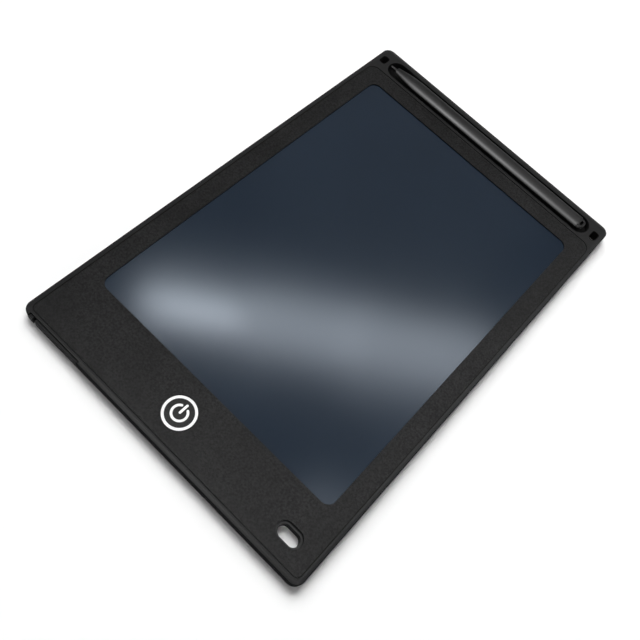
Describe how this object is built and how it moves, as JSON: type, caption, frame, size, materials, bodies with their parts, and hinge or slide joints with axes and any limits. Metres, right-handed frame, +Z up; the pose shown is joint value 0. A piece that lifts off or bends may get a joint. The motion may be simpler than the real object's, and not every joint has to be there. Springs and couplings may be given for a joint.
{
  "type": "lcd writing tablet",
  "caption": "Thin slab tablet with a recessed writing film, round erase key, lanyard slot, edge coin cell drawer, and a stylus lying in a trough along the top.",
  "frame": {"origin": "centre of the footprint, on the resting face of the back cover", "axes": "+Z up out of the screen, +Y towards the stylus trough, +X towards the lanyard slot's side"},
  "size_m": [0.147, 0.226, 0.008],
  "materials": {
    "front_shell": "fine satin moulded",
    "back_shell": "fine matte moulded",
    "overlay_panel": "matte, fine grain",
    "erase_key": "matte, with a printed power symbol",
    "battery_drawer": "fine satin moulded",
    "stylus_barrel": "satin",
    "stylus_tip": "satin",
    "stylus_tail_cap": "satin",
    "writing_film": "smooth dark film",
    "rear_film": "smooth film",
    "black_backing": "matte black sheet",
    "support_board": "dense foam board",
    "film_tape": "foam tape",
    "film_lead_left": "copper foil tape",
    "film_lead_right": "copper foil tape",
    "circuit_board": "green solder mask",
    "board_screw_left": "plated",
    "board_screw_right": "plated",
    "tact_switch": "moulded",
    "tact_plunger": "moulded",
    "driver_chip": "moulded",
    "boost_coil": "ferrite",
    "capacitor_left": "ceramic",
    "capacitor_right": "ceramic",
    "negative_contact": "plated spring strip",
    "positive_contact": "plated spring strip",
    "cell_can": "brushed",
    "cell_gasket": "matte",
    "cell_cap": "brushed",
    "lock_slider": "moulded",
    "lock_switch": "plated"
  },
  "bodies": {
    "tablet": {"front_shell": "front_shell", "back_shell": "back_shell", "overlay_panel": "overlay_panel", "writing_film": "writing_film", "rear_film": "rear_film", "black_backing": "black_backing", "support_board": "support_board", "film_tape": "film_tape", "film_lead_left": "film_lead_left", "film_lead_right": "film_lead_right", "circuit_board": "circuit_board", "board_screw_left": "board_screw_left", "board_screw_right": "board_screw_right", "tact_switch": "tact_switch", "driver_chip": "driver_chip", "boost_coil": "boost_coil", "capacitor_left": "capacitor_left", "capacitor_right": "capacitor_right", "negative_contact": "negative_contact", "positive_contact": "positive_contact", "lock_switch": "lock_switch"},
    "key": {"erase_key": "erase_key", "tact_plunger": "tact_plunger"},
    "stylus": {"stylus_barrel": "stylus_barrel", "stylus_tip": "stylus_tip", "stylus_tail_cap": "stylus_tail_cap"},
    "drawer": {"battery_drawer": "battery_drawer", "cell_can": "cell_can", "cell_gasket": "cell_gasket", "cell_cap": "cell_cap"},
    "lock": {"lock_slider": "lock_slider"}
  },
  "joints": [
    {"name": "key_press", "type": "slide", "parent": "tablet", "child": "key", "axis": [0, 0, -1], "range_m": [0, 0.0003], "stiffness_N_per_m": 1500, "springref_m": -0.0004},
    {"name": "stylus_lift", "type": "slide", "parent": "tablet", "child": "stylus", "axis": [0, 0, 1], "range_m": [0, 0.03]},
    {"name": "drawer_pull", "type": "slide", "parent": "tablet", "child": "drawer", "axis": [0, -1, 0], "range_m": [0, 0.026]},
    {"name": "lock_slide", "type": "slide", "parent": "tablet", "child": "lock", "axis": [1, 0, 0], "range_m": [0, 0.002]}
  ]
}
